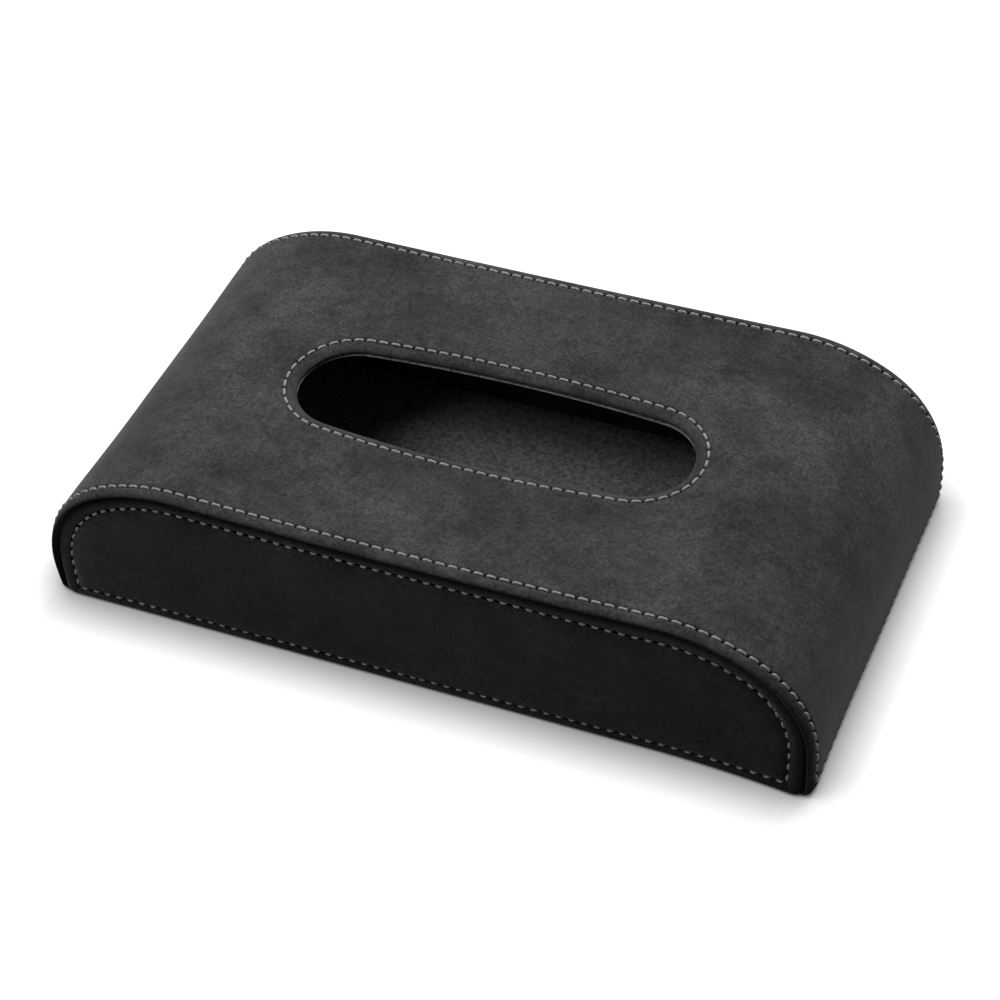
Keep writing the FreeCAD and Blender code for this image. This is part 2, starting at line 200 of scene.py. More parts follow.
class StudioSettings(bpy.types.PropertyGroup):
    """Camera and lamps."""

    azimuth: angle("Azimuth", 25.958, "Camera round the cover from the front")
    elevation: angle("Elevation", 43.55, "Camera above the table")
    roll: angle("Roll", 4.71, "Camera tilted about its own axis")
    distance: size("Distance", 917.3 * MM, "Camera from the point that it looks at")
    target: spot("Target", (-3.9 * MM, 8.52 * MM, 9.6 * MM), "Point that the camera looks at")
    film: plain("Film", 36, "Width of the camera's picture in millimetres")
    lens: plain("Lens", 99.6, "Focal length in millimetres")
    key: plain("Key lamp", 8.7, "Watts of the large lamp above and behind the cover")
    key_width: size("Key width", 0.6, "Side of the large lamp")
    key_place: spot("Key place", (0.12, 0.68, 0.96), "Middle of the large lamp")
    side: plain("Side lamp", 1.5, "Watts of the smaller lamp that shines in through the slot")
    side_width: size("Side width", 0.38, "Side of the smaller lamp")
    side_place: spot("Side place", (-0.34, -0.30, 0.66), "Middle of the smaller lamp")
    sky: plain("Sky", 0.02, "Even light from all round")
    glow: plain("Glow", 0.95, "How much of its white the table shows without the lamps")
    # Painted shadow: the table's glow fades with ambient occlusion near the cover.
    painted_shadow_reach: size("Glow reach", 0.018, "How far from the cover the table loses its glow")
    floor_reach: size("Floor reach", 8, "Table from its middle to each side")


def sizes():
    return bpy.context.scene.cover_sizes


def sewing():
    return bpy.context.scene.cover_sewing


def colours():
    return bpy.context.scene.cover_colours


def studio():
    return bpy.context.scene.cover_studio


# Lines in the plane of a sheet

class Line:
    """A line, and at each of its points the direction that leads out of the sheet."""

    def __init__(self, points, out, knots):
        steps = np.linalg.norm(np.diff(points, axis=0), axis=1)
        self.far = np.concatenate([[0], np.cumsum(steps)])
        self.points = points
        self.out = out
        self.knots = np.array(knots, float)
        self.length = self.far[-1]

    def at(self, along, beyond=0.0):
        """Points at distances along the line, moved outwards by beyond."""
        place = [np.interp(along, self.far, self.points[:, k]) for k in (0, 1)]
        out = [np.interp(along, self.far, self.out[:, k]) for k in (0, 1)]
        return np.stack(place, -1) + np.stack(out, -1) * np.asarray(beyond)[..., None]


def trace(start, heading, runs, step=0.05 * MM):
    """A line of straights and arcs: each run is its length and the angle that it turns left."""
    lengths, turns = np.array(runs, float).T
    knots = np.concatenate([[0], np.cumsum(lengths)])
    headings = heading + np.concatenate([[0], np.cumsum(turns)])
    far = np.union1d(np.linspace(0, knots[-1], int(knots[-1] / step) + 2), knots)
    angles = np.interp(far, knots, headings)
    middle = (angles[1:] + angles[:-1]) / 2
    steps = np.stack([np.cos(middle), np.sin(middle)], 1) * np.diff(far)[:, None]
    points = np.array(start) + np.concatenate([np.zeros((1, 2)), np.cumsum(steps, 0)])
    return Line(points, np.stack([-np.sin(angles), np.cos(angles)], 1), knots)


def both_halves(right):
    """A line from its right half, which starts at the middle."""
    flip = np.array([-1, 1])
    points = np.concatenate([right.points[:0:-1] * flip, right.points])
    out = np.concatenate([right.out[:0:-1] * flip, right.out])
    middle = right.knots[-1]
    return Line(points, out, [*(middle - right.knots[:0:-1]), *(middle + right.knots)])


def straight(start, end):
    """A straight line whose sheet lies on its right hand."""
    points = np.array([start, end], float)
    ahead = (points[1] - points[0]) / np.linalg.norm(points[1] - points[0])
    return Line(points, np.array([[-ahead[1], ahead[0]]] * 2), [0, np.linalg.norm(points[1] - points[0])])


def corner(radius=0.0):
    """A turn to the right, square where it has no radius."""
    return max(radius, SQUARE) * math.pi / 2, -math.pi / 2


def arch_runs(inset=0.0):
    """Dipped top, slow shoulder and quick end of the right half of the band's outline."""
    cover = sizes()
    slower = cover.shoulder_radius - cover.end_radius
    crest = cover.length / 2 - cover.end_radius - slower * math.sin(cover.shoulder_turn)
    lean = 2 * math.atan(cover.top_dip / crest)
    top_radius = crest / math.sin(lean) - cover.shoulder_radius
    turn = cover.shoulder_turn + lean
    rest = math.pi / 2 - cover.shoulder_turn
    top = ((top_radius + inset) * lean, lean)
    shoulder = ((cover.shoulder_radius - inset) * turn, -turn)
    return [top, shoulder, ((cover.end_radius - inset) * rest, -rest)]


def top_middle():
    """Height of the top where it is lowest, between its two crests."""
    return sizes().height - sizes().top_dip


def upright_top():
    """Height at which the upright foot of an end begins."""
    cover = sizes()
    slower = cover.shoulder_radius - cover.end_radius
    return cover.height - cover.shoulder_radius + slower * math.cos(cover.shoulder_turn)


def wall_line():
    """Right half of the band's outline, straight down to the table."""
    return trace((0, top_middle()), 0, arch_runs() + [(upright_top(), 0)])


def wall_thickness():
    cover = sizes()
    return 2 * cover.leather + cover.band_board + cover.lining


def skin_line():
    """Right half of the band's outline, with the hem that turns in under the wall."""
    cover = sizes()
    runs = arch_runs() + [(upright_top() - cover.foot_radius, 0), corner(cover.foot_radius)]
    return trace((0, top_middle()), 0, runs + [(wall_thickness() - cover.foot_radius, 0)])


def arch_row(inset, base):
    """The arch at an inset, from one upright's foot over the top to the other."""
    runs = arch_runs(inset) + [(upright_top() - base, 0)]
    return both_halves(trace((0, top_middle() - inset), 0, runs))


def panel_outline(inset, base, radius):
    """Closed outline of a side panel, with rounded lower corners."""
    cover = sizes()
    radius = max(radius, SQUARE)
    runs = arch_runs(inset) + [(upright_top() - base - radius, 0), corner(radius)]
    runs.append((cover.length / 2 - inset - radius, 0))
    return both_halves(trace((0, top_middle() - inset), 0, runs))


def box_outline(half_x, high_y, low_y, low_radius=0.0):
    """Closed outline of a rectangle, clockwise from the middle of its upper side."""
    radius = max(low_radius, SQUARE)
    runs = [(half_x, 0), corner(), (high_y - low_y - radius, 0), corner(radius), (half_x - radius, 0)]
    return both_halves(trace((0, high_y), 0, runs))


def box_sides(half_x, high_y, low_y):
    """The four sides of a rectangle, clockwise, each with the sheet on its right hand."""
    corners = [(-half_x, low_y), (-half_x, high_y), (half_x, high_y), (half_x, low_y)]
    return [straight(corners[k], corners[(k + 1) % 4]) for k in range(4)]


def slot_outline(grow):
    """Closed oval of the slot, grown. It runs against the clock, since its sheet lies outside it."""
    cover = sizes()
    half_length, half_width, end = cover.slot_length / 2, cover.slot_width / 2, cover.slot_end_radius
    centre = half_length - end
    side = (centre**2 + half_width**2 - end**2) / (2 * (half_width - end))
    lean = math.atan2(centre, side - half_width)
    half_side = ((side + grow) * lean, lean)
    round_end = ((end + grow) * (math.pi - 2 * lean), math.pi - 2 * lean)
    runs = [half_side, round_end, half_side, half_side, round_end, half_side]
    return trace((0, -half_width - grow), 0, runs)


# Rows of stitches

class Row:
    """Stitches along a line. A row that meets others at its ends keeps their corners square."""

    def __init__(self, line, corners=False):
        self.line = line
        self.corners = corners
        self.count = max(1, round(line.length / sewing().pitch))
        self.step = line.length / self.count

    def beside(self, beyond, columns):
        """Points on a line beside the row, so many to a stitch, and how far each is from a needle hole."""
        along = np.arange(round(self.count * columns)) * self.step / columns
        along = along[along < self.line.length - self.step / columns / 2]
        points = self.line.at(along, beyond)
        if self.corners:
            out = self.line.at(along, 1.0) - self.line.at(along)
            ahead = np.stack([out[:, 1], -out[:, 0]], 1)
            reach = 1.5 * self.step
            start = np.clip(1 - along / reach, 0, 1)
            end = np.clip(1 - (self.line.length - along) / reach, 0, 1)
            points = points + ahead * ((end - start) * beyond)[:, None]
        from_hole = np.abs((along / self.step + 0.5) % 1 - 0.5) * self.step
        return points, from_hole


class Seam:
    """What some rows do to the skin: depth of groove, holes and valley, and the swelling beside them.

    The widths here are in radii of the thread."""

    groove_width = 1.15
    swell_place = 2.6
    swell_width = 1.4
    swell_least = 0.2
    swell_growth = 3
    crease_width = 2
    crease_shade = 0.35
    hole_shade_width = 1.3
    fine_lines = (0.75, 1.5, 2.4, 3.5)
    wide_lines = ((5.2, 2), (8, 3), (12, 4))

    def __init__(self, rows, groove, hole, valley, valley_width, puff, outward):
        self.rows = rows
        self.groove = groove
        self.hole = hole
        self.valley = valley
        self.valley_width = valley_width
        self.puff = puff
        self.outward = outward

    def lift(self, beyond, from_hole):
        """Height of the skin beside the row."""
        radius = sewing().thread / 2
        away = np.hypot(beyond, from_hole)
        groove = self.groove * np.exp(-((beyond / (self.groove_width * radius)) ** 2))
        hole = self.hole * np.exp(-((away / radius) ** 2))
        valley = self.valley * np.exp(-((beyond / self.valley_width) ** 2))
        from_swell = (np.abs(beyond) - self.swell_place * radius) / (self.swell_width * radius)
        between = self.swell_least + self.swell_growth * from_hole / sewing().pitch
        return self.puff * np.exp(-(from_swell**2)) * between - groove - hole - valley

    def seam_shade(self, beyond, from_hole):
        """How much light the crease keeps out, from 0 to 1."""
        radius = sewing().thread / 2
        away = np.hypot(beyond, from_hole)
        crease = self.crease_shade * np.exp(-((beyond / (self.crease_width * radius)) ** 2))
        return np.clip(np.exp(-((away / (self.hole_shade_width * radius)) ** 2)) + crease, 0, 1)

    def points(self, columns=6):
        """Points of the skin beside the rows, with their lift and their painted shade."""
        radius = sewing().thread / 2
        fine = [sign * share * radius for share in self.fine_lines for sign in (-1, 1)]
        lines = [(beyond, columns) for beyond in [0, *fine]]
        lines += [(-share * radius, columns / fewer) for share, fewer in self.wide_lines]
        places, lifts, seam_shades = [], [], []
        for beyond, number in lines:
            if beyond > self.outward:
                continue
            for row in self.rows:
                points, from_hole = row.beside(beyond, number)
                places.append(points)
                lifts.append(self.lift(beyond, from_hole))
                seam_shades.append(self.seam_shade(beyond, from_hole))
        return np.concatenate(places), np.concatenate(lifts), np.concatenate(seam_shades)


# Sheets

def crossings(points, loops):
    """True for each point that lies inside the first loop and in none of the holes."""
    inside = np.zeros(len(points), bool)
    x, y = points[:, 0, None], points[:, 1, None]
    for loop in loops:
        x1, y1 = loop.T
        x2, y2 = np.roll(loop, -1, axis=0).T
        with np.errstate(divide="ignore", invalid="ignore"):
            meet = x1 + (x2 - x1) * (y - y1) / (y2 - y1)
        inside ^= (((y1 > y) != (y2 > y)) & (x < meet)).sum(1) % 2 == 1
    return inside


def nearest(points, others):
    """Distance of each point from the nearest of some others."""
    tree = KDTree(len(others))
    for number, (x, y) in enumerate(others):
        tree.insert((x, y, 0), number)
    tree.balance()
    return np.array([tree.find((x, y, 0))[2] for x, y in points])


def fill(loops, fixed, spacing):
    """Points and triangles of a flat sheet inside the first loop and outside the other loops."""
    given = np.concatenate([*loops, fixed])
    low, high = loops[0].min(0), loops[0].max(0)
    free = []
    for number, y in enumerate(np.arange(low[1] + spacing / 2, high[1], spacing * math.sqrt(3) / 2)):
        xs = np.arange(low[0] + spacing * (1 + number % 2) / 2, high[0], spacing)
        free.append(np.stack([xs, np.full(len(xs), y)], 1))
    free = np.concatenate(free)
    free = free[crossings(free, loops)]
    least_gap = 0.6 * spacing
    points = np.concatenate([given, free[nearest(free, given) > least_gap]])
    edges, first = [], 0
    for loop in loops:
        edges += [(first + k, first + (k + 1) % len(loop)) for k in range(len(loop))]
        first += len(loop)
    millimetres = [Vector(point) for point in points / MM]
    whole_hull, tolerance = 0, 1e-5
    _, _, faces, origins, _, _ = delaunay_2d_cdt(millimetres, edges, [], whole_hull, tolerance)
    origins = np.array([origin[0] for origin in origins])
    triangles = origins[np.array(faces)]
    return points, triangles[crossings(points[triangles].mean(1), loops)]


class Edge:
    """An edge of a sheet: one line for each step round from the top face to the underside.

    A step's depth is one number, or one for each run of its line."""

    def __init__(self, lines, depths, step=1.2 * MM):
        spans = np.max([np.diff(line.knots) for line in lines], axis=0)
        least = 0.05 * MM
        counts = [0 if length < least else max(1, round(length / step)) for length in spans]
        self.count = sum(counts)
        self.rings = []
        for line, depth in zip(lines, depths):
            runs = zip(line.knots[:-1], line.knots[1:], counts)
            along = np.concatenate([np.linspace(*run, endpoint=False) for run in runs])
            self.rings.append((line.at(along), np.repeat(np.broadcast_to(depth, len(counts)), counts)))


def ring_faces(counts, starts):
    """Faces between rings that start at the given vertices. Each edge takes its count of a ring."""
    faces, first = [], 0
    for count in counts:
        here = np.arange(count) + first
        ahead = np.roll(here, -1)
        for low, high in zip(starts[:-1], starts[1:]):
            faces += np.stack([low + here, low + ahead, high + ahead, high + here], 1).tolist()
        first += count
    return faces


def skin(name, place, edges, seams=(), spacing=3 * MM, lift=None, face=0.0, rolled=1):
    """A closed sheet, its top at the depth of face. place turns points and depths into points in space.

    rolled is the number of rings over which its rim turns from the top face to the side, and over which the
    rim's 'side' mark, used as painted shade on suede, rises to full."""
    nothing = np.zeros((0, 2))
    marks = [seam.points() for seam in seams]
    fixed = np.concatenate([mark[0] for mark in marks] or [nothing])
    top, top_faces = fill([edge.rings[0][0] for edge in edges], fixed, spacing)
    under, under_faces = fill([edge.rings[-1][0] for edge in edges], nothing, spacing)
    counts = [edge.count for edge in edges]
    rim = sum(counts)
    together = zip(*(edge.rings for edge in edges))
    rings = [[np.concatenate(part) for part in zip(*ring)] for ring in together]
    depth = np.full(len(top), float(face))
    depth[:rim] = rings[0][1]
    if lift:
        depth[rim:] -= lift(top[rim:])
    # Painted shade at the needle holes and in the creases beside the rows, which the suede finish darkens by.
    seam_shade = np.zeros(len(top))
    if marks:
        sewn = slice(rim, rim + len(fixed))
        depth[sewn] -= np.concatenate([mark[1] for mark in marks])
        seam_shade[sewn] = np.concatenate([mark[2] for mark in marks])
    parts = [place(top, depth)] + [place(*ring) for ring in rings[1:-1]]
    depth = np.full(len(under), rings[-1][1][0])
    depth[:rim] = rings[-1][1]
    parts.append(place(under, depth))
    starts = np.cumsum([0] + [len(part) for part in parts[:-1]])
    faces = top_faces.tolist() + (under_faces[:, ::-1] + starts[-1]).tolist() + ring_faces(counts, starts)
    piece = new_piece(name, np.concatenate(parts), faces)
    seam_shade = np.concatenate([seam_shade, np.zeros(starts[-1] + len(under) - len(top))])
    # The 'side' mark: on suede it paints shade over rims that roll away from the top face; on the lining it
    # makes the raw cut edges paler.
    side = np.zeros(len(seam_shade))
    for number, (first, end) in enumerate(zip(starts[1:-1], starts[2:]), start=1):
        side[first:end] = min(number / rolled, 1) ** 2
    for mark, values in (("seam_shade", seam_shade), ("side", side)):
        attribute = piece.data.attributes.new(mark, "FLOAT", "POINT")
        attribute.data.foreach_set("value", values.astype(np.float32))
    return piece


def new_piece(name, points, faces, crease=50):
    """A smooth mesh with its faces turned outwards, linked to the scene."""
    mesh = bpy.data.meshes.new(name)
    mesh.from_pydata(points.tolist(), [], faces)
    shape = bmesh.new()
    shape.from_mesh(mesh)
    bmesh.ops.recalc_face_normals(shape, faces=shape.faces)
    shape.to_mesh(mesh)
    shape.free()
    mesh.shade_smooth()
    mesh.set_sharp_from_angle(angle=math.radians(crease))
    piece = bpy.data.objects.new(name, mesh)
    bpy.context.scene.collection.objects.link(piece)
    return piece


def tube_faces(count, sections):
    """Faces round a tube through so many sections, each a ring of count points."""
    faces = []
    for first in range(0, (sections - 1) * count, count):
        for k in range(count):
            here, beside = first + k, first + (k + 1) % count
            faces.append((here, beside, beside + count, here + count))
    return faces


def stitches(name, rows, place, gap, sections=11, around=9):
    """Every stitch of some rows: a bent, twisted three-ply thread that dives into its needle holes."""
    radius = sewing().thread / 2
    quick_dive, dive, proud = 3.5, 1.6 * radius, 0.25 * radius
    ply_relief, ply_twist = 0.10, 1.6
    blunt, thinnest = 9, 0.12
    share = np.linspace(-1, 1, sections)
    bow = np.abs(share) ** quick_dive
    centres, ups = [], []
    for row in rows:
        middle = (np.arange(row.count) + 0.5) * row.step
        along = (middle[:, None] + share * (row.step - gap) / 2).ravel()
        depth = np.tile(bow * dive - proud, row.count)
        centre = place(row.line.at(along), depth)
        above = place(row.line.at(along), depth - radius)
        centres.append(centre.reshape(row.count, sections, 3))
        ups.append((above - centre).reshape(row.count, sections, 3))
    centres, ups = np.concatenate(centres), np.concatenate(ups)
    ahead = np.gradient(centres, axis=1)
    side = np.cross(ahead, ups)
    side /= np.linalg.norm(side, axis=2, keepdims=True)
    up = np.cross(side, ahead)
    up /= np.linalg.norm(up, axis=2, keepdims=True)
    turn = np.arange(around) * 2 * math.pi / around
    ply = 1 + ply_relief * np.cos(3 * (turn[None, :] - ply_twist * share[:, None]))
    taper = np.sqrt(np.clip(1 - np.abs(share) ** blunt, thinnest, 1))
    spread = (radius * ply * taper[:, None])[None, :, :, None]
    ring = np.cos(turn)[:, None] * up[:, :, None] + np.sin(turn)[:, None] * side[:, :, None]
    tube = centres[:, :, None] + ring * spread
    last = (sections - 1) * around
    one = [tuple(range(around)), tuple(range(last, last + around)), *tube_faces(around, sections)]
    firsts = range(0, len(tube) * sections * around, sections * around)
    faces = [tuple(first + k for k in face) for first in firsts for face in one]
    return new_piece(name, tube.reshape(-1, 3), faces, crease=80)


# Where each sheet lies

def sunk(points):
    """The cover's walls once the soft top has sunk and the feet of the lips have drawn in."""
    cover = sizes()
    x, y, z = points.T
    across = 2 * y / cover.depth
    along = 2 * x / cover.length
    middle = 1 - along**2
    uneven = (cover.back_rise * (1 + across) - cover.front_droop * (1 - across)) / 2
    fall = cover.sag * (1 - across**2) - uneven * middle
    tuck_start, splay_start = 0.88, 0.6
    tuck = cover.corner_tuck * near_foot(z, cover.tuck_height) * near_edge(np.abs(across), tuck_start)
    right_front = near_edge(along, splay_start) * near_edge(-across, splay_start)
    splay = cover.splay * near_foot(z, cover.flare_height) * right_front
    return np.stack([x - np.sign(x) * tuck + splay / 3, y - splay, z - fall * z / cover.height], 1)


def near_edge(share, start):
    """0 up to a share of the way out from the middle, rising to 1 at the edge."""
    return np.clip((share - start) / (1 - start), 0, 1) ** 2


def near_foot(z, reach):
    """1 at the table, falling to 0 at a height."""
    return np.clip(1 - z / reach, 0, 1) ** 2


def band_place(line):
    """Bends the band's flat pattern, whose first axis runs along the outline, round the cover."""
    def place(points, depth):
        cover = sizes()
        bent = line.at(np.abs(points[:, 0]), -depth)
        x = bent[:, 0] * np.where(points[:, 0] < 0, -1, 1)
        in_lip = np.abs(points[:, 1]) - cover.panel_face + cover.corner_tuck
        beyond = np.clip(in_lip, 0, 1) / cover.corner_tuck
        drawn_in = cover.corner_tuck / 2 * near_foot(bent[:, 1], cover.tuck_height) * beyond
        y = points[:, 1] - np.sign(points[:, 1]) * drawn_in
        return sunk(np.stack([x, y, bent[:, 1]], 1))
    return place


def panel_place(side, flared=False):
    """Stands a side panel up at the front, with side -1, or at the back, with side 1."""
    def place(points, depth):
        cover = sizes()
        x, z = points.T
        flare = cover.foot_flare * near_foot(z, cover.flare_height)
        outer = np.clip(1 - depth / cover.panel_shell, 0, 1) if flared else 0
        return sunk(np.stack([x, side * (cover.panel_face - depth + flare * outer), z], 1))
    return place


def flap_place(points, depth):
    """Lays the flap's sheets face down over the table."""
    return np.stack([points[:, 0], points[:, 1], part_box("flap_leather")[0].z + depth], 1)


def waves(points, height, seed, longest=60 * MM, number=9):
    """A gentle unevenness, the same on every run."""
    random = np.random.default_rng(seed)
    shortest = 0.3
    total = np.zeros(len(points))
    for _ in range(number):
        heading, phase = random.uniform(0, 2 * math.pi, 2)
        length = longest * random.uniform(shortest, 1.0)
        way = points @ np.array([math.cos(heading), math.sin(heading)])
        total += np.sin(way * 2 * math.pi / length + phase)
    return height * total / math.sqrt(number)


# Edge steps: how far in, and how deep, from the top face round to the underside

def roll(width, depth, steps=5):
    """A soft quarter turn from the top face to the side."""
    turn = np.linspace(0, math.pi / 2, steps + 1)
    return list(zip(width * (1 - np.sin(turn)), depth * (1 - np.cos(turn))))


def lip_drop(inset, width, depth):
    """How far a turned lip has rounded down, at so far in from its edge: part slope, part roll."""
    share = np.clip(1 - inset / width, 0, 1)
    slope = 0.6
    return depth * (slope * share**2 + (1 - slope) * (1 - np.sqrt(1 - share**2)))


def lip_steps(width, depth):
    """Skin folded back on itself: over the roll, under it, and along the turned ply."""
    cover = sizes()
    turn = np.linspace(math.asin(1 - cover.lip_start / width), math.pi / 2, num=7)
    over = [(inset, lip_drop(inset, width, depth)) for inset in width * (1 - np.sin(turn))]
    folded = 2 * cover.leather
    below = roll(cover.leather, folded - depth, steps=3)[:-1]
    under = [(inset, folded - rise) for inset, rise in reversed(below)]
    return over + under + [(cover.edge_turn, folded), (cover.edge_turn, cover.leather)]


def slab_steps(top, bottom):
    """Plain cut edges of a board or a lining."""
    return [(BEVEL, top), (0, top + BEVEL), (0, bottom - BEVEL), (BEVEL, bottom)]


def mirrored(halves):
    """Depths for every run of an outline, from those of its right half."""
    return [half[::-1] + half for half in halves]


def slot_edge(steps, setback=0.0, step=1.2 * MM):
    insets, depths = zip(*steps)
    return Edge([slot_outline(setback + inset) for inset in insets], depths, step)


# Band

def band_rows():
    """The two edge rows and the two hem rows, which meet at the four feet."""
    hem = wall_line().length - sewing().base_row
    half = sizes().depth / 2 - sewing().edge_inset
    return [Row(side, corners=True) for side in box_sides(hem, half, -half)]


def slot_row():
    return Row(slot_outline(sewing().slot_inset))


def band_skin():
    """The leather of the band, with its turned long edges, the turned slot and the hems."""
    cover = sizes()
    line = skin_line()
    steps = lip_steps(cover.lip_width, cover.lip_depth)
    slot = slot_edge(lip_steps(cover.slot_lip_width, cover.slot_lip_depth))
    insets, depths = zip(*steps)
    lines = [box_outline(line.length, cover.depth / 2 - inset, inset - cover.depth / 2) for inset in insets]
    cut = np.linspace(0, cover.leather, len(steps))
    half = [[depth, 0, hem, 0, depth] for depth, hem in zip(depths, cut)]
    outer = Edge(lines, mirrored(half))
    sewn = {"groove": 0.30 * MM, "hole": 0.60 * MM, "valley": 0.10 * MM, "valley_width": 1.5 * MM}
    seams = [Seam(rows, puff=0.16 * MM, outward=1.1 * MM, **sewn) for rows in (band_rows(), [slot_row()])]
    return skin("band_leather_skin", band_place(line), [outer, slot], seams, lift=band_swell, rolled=6)


def band_swell(points):
    """The band's leather swells over its foam inside the rows, and rounds down outside them."""
    cover = sizes()
    row = slot_row().line.points
    from_slot = nearest(points, row[::4])
    from_slot = np.where(crossings(points, [row[::20]]), -from_slot, from_slot)
    from_edge = cover.depth / 2 - np.abs(points[:, 1])
    from_hem = wall_line().length - sewing().base_row - np.abs(points[:, 0])
    inside = np.minimum(np.minimum(from_slot, from_edge - sewing().edge_inset), from_hem)
    padding = cover.band_padding * (1 - np.exp(-np.clip(inside, 0, 1) / cover.padding_reach))
    drop = lip_drop(from_edge, cover.lip_width, cover.lip_depth)
    drop += lip_drop(from_slot + sewing().slot_inset, cover.slot_lip_width, cover.slot_lip_depth)
    return padding - drop + waves(points, height=0.10 * MM, seed=4)


def band_layer(name, top, bottom, half_width, foot, slot_setback):
    """A hidden layer of the band between two depths."""
    line = wall_line()
    end = line.length - foot
    steps = slab_steps(top, bottom)
    insets, depths = zip(*steps)
    lines = [box_outline(end - inset, half_width - inset, inset - half_width) for inset in insets]
    outer = Edge(lines, depths, step=3 * MM)
    return skin(name, band_place(line), [outer, slot_edge(steps, slot_setback)], spacing=4 * MM, face=top)


def wall_inside():
    """Middle of the cover to the inside of a side panel."""
    cover = sizes()
    return cover.panel_face - cover.panel_shell - cover.lining


# Side panels

def panel_rows():
    """The row over the arch and the row along the base, which meet in square corners."""
    inset = sizes().panel_inset + sewing().panel_row
    base = sewing().base_row
    half = sizes().length / 2 - inset
    arch = arch_row(inset, base)
    dip_place, dip_width = 0.58, 0.27
    along = 2 * arch.points[:, 0] / sizes().length
    arch.points[:, 1] -= sewing().shoulder_dip * np.exp(-(((along - dip_place) / dip_width) ** 2))
    return [Row(arch, corners=True), Row(straight((half, base), (-half, base)), corners=True)]


def panel_skin(name, side):
    """The leather tray of a side panel, drawn over foam and pulled down by its row of stitches."""
    cover = sizes()
    sewn = {"groove": 0.25 * MM, "hole": 0.6 * MM, "valley": 0.75 * MM, "valley_width": 1.7 * MM}
    seam = Seam(panel_rows(), puff=0.05 * MM, outward=1.1 * MM, **sewn)
    beside_row = 1.3 * MM
    pillow_reach = 5 * MM
    rim, rim_base = sewing().panel_row - beside_row, sewing().base_row - beside_row
    turn = np.linspace(0, 1, num=9)
    shares = np.cos(turn * math.pi / 2)
    rims = zip(cover.panel_inset + rim * shares, rim_base * shares, cover.panel_corner * (1 - shares))
    lines = [panel_outline(*numbers) for numbers in rims]
    valley = seam.valley * np.exp(-(((beside_row + rim * (1 - shares)) / seam.valley_width) ** 2))
    depths = list(cover.panel_rim * (1 - np.sqrt(1 - turn**3)) + valley)
    edge = panel_outline(cover.panel_inset, 0, cover.panel_corner)
    thick = cover.leather
    inner = panel_outline(cover.panel_inset + thick, thick, cover.panel_corner - thick)
    lines += [edge, inner, inner]
    depths += [cover.panel_shell, cover.panel_shell, cover.leather]

    def lift(points):
        low = points[:, 1] - sewing().base_row
        across = np.minimum(low, nearest(points, seam.rows[0].line.points[::4]))
        pillow = cover.panel_pillow * (1 - np.exp(-((np.clip(across, 0, 1) / pillow_reach) ** 2)))
        return pillow + waves(points, height=0.08 * MM, seed=7 + side, longest=50 * MM)
    edge = Edge(lines, depths, step=1 * MM)
    return skin(name, panel_place(side, flared=True), [edge], [seam], lift=lift, rolled=8)


def panel_layer(name, side, top, bottom, inset):
    """A hidden layer of a side panel between two depths."""
    base = sizes().leather
    radius = sizes().panel_corner - base
    insets, depths = zip(*slab_steps(top, bottom))
    lines = [panel_outline(inset + inward, base + inward, radius - inward) for inward in insets]
    edge = Edge(lines, depths, step=3 * MM)
    return skin(name, panel_place(side), [edge], spacing=5 * MM, face=top)


# Base flap and hinge

def flap_box():
    low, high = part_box("flap_leather")
    return high.x, high.y, low.y


def flap_rows():
    half_x, high_y, low_y = flap_box()
    inset = sewing().flap_row
    return [Row(side, corners=True) for side in box_sides(half_x - inset, high_y - inset, low_y + inset)]


def flap_skin():
    """The leather under the flap, turned up round its front and its ends."""
    cover = sizes()
    half_x, high_y, low_y = flap_box()
    wall = span("flap_leather", 2)
    steps = roll(width=1 * MM, depth=1 * MM, steps=4)
    steps += [(0, wall), (cover.leather, wall), (cover.leather, cover.leather)]
    insets, depths = zip(*steps)
    radius = cover.flap_corner
    lines = [box_outline(half_x - inset, high_y, low_y + inset, radius - inset) for inset in insets]
    cut = np.linspace(0, cover.leather, len(steps))
    half = [[back, 0, depth, depth, depth] for depth, back in zip(depths, cut)]
    outer = Edge(lines, mirrored(half))
    sewn = {"groove": 0.25 * MM, "hole": 0.4 * MM, "valley": 0.15 * MM, "valley_width": 1.8 * MM}
    seam = Seam(flap_rows(), puff=0.08 * MM, outward=1.6 * MM, **sewn)
    uneven = 0.05 * MM

    def lift(points):
        return waves(points, uneven, seed=12) - uneven
    return skin("flap_leather_skin", flap_place, [outer], [seam], spacing=4 * MM, lift=lift)


def flap_lining():
    """The suede on the flap's inside, turned down over the back edge of its board."""
    cover = sizes()
    half_x, _, low_y = flap_box()
    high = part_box("flap_lining")[1]
    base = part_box("flap_leather")[0].z
    top = high.z - base
    under = top - cover.lining
    insets = zip([BEVEL, 0, 0, 0, BEVEL], [cover.lining, cover.lining, 0, 0, BEVEL])
    cut = [under, under + BEVEL, under + 2 * BEVEL, top - BEVEL, top]
    turned = [under, cover.leather, cover.leather, top - BEVEL, top]
    radius = cover.flap_corner
    lines = [box_outline(half_x - end, high.y - back, low_y + end, radius) for end, back in insets]
    half = [[back, depth, depth, depth, depth] for back, depth in zip(turned, cut)]
    edge = Edge(lines, mirrored(half))
    return skin("flap_lining_suede", flap_place, [edge], spacing=4 * MM, face=under)


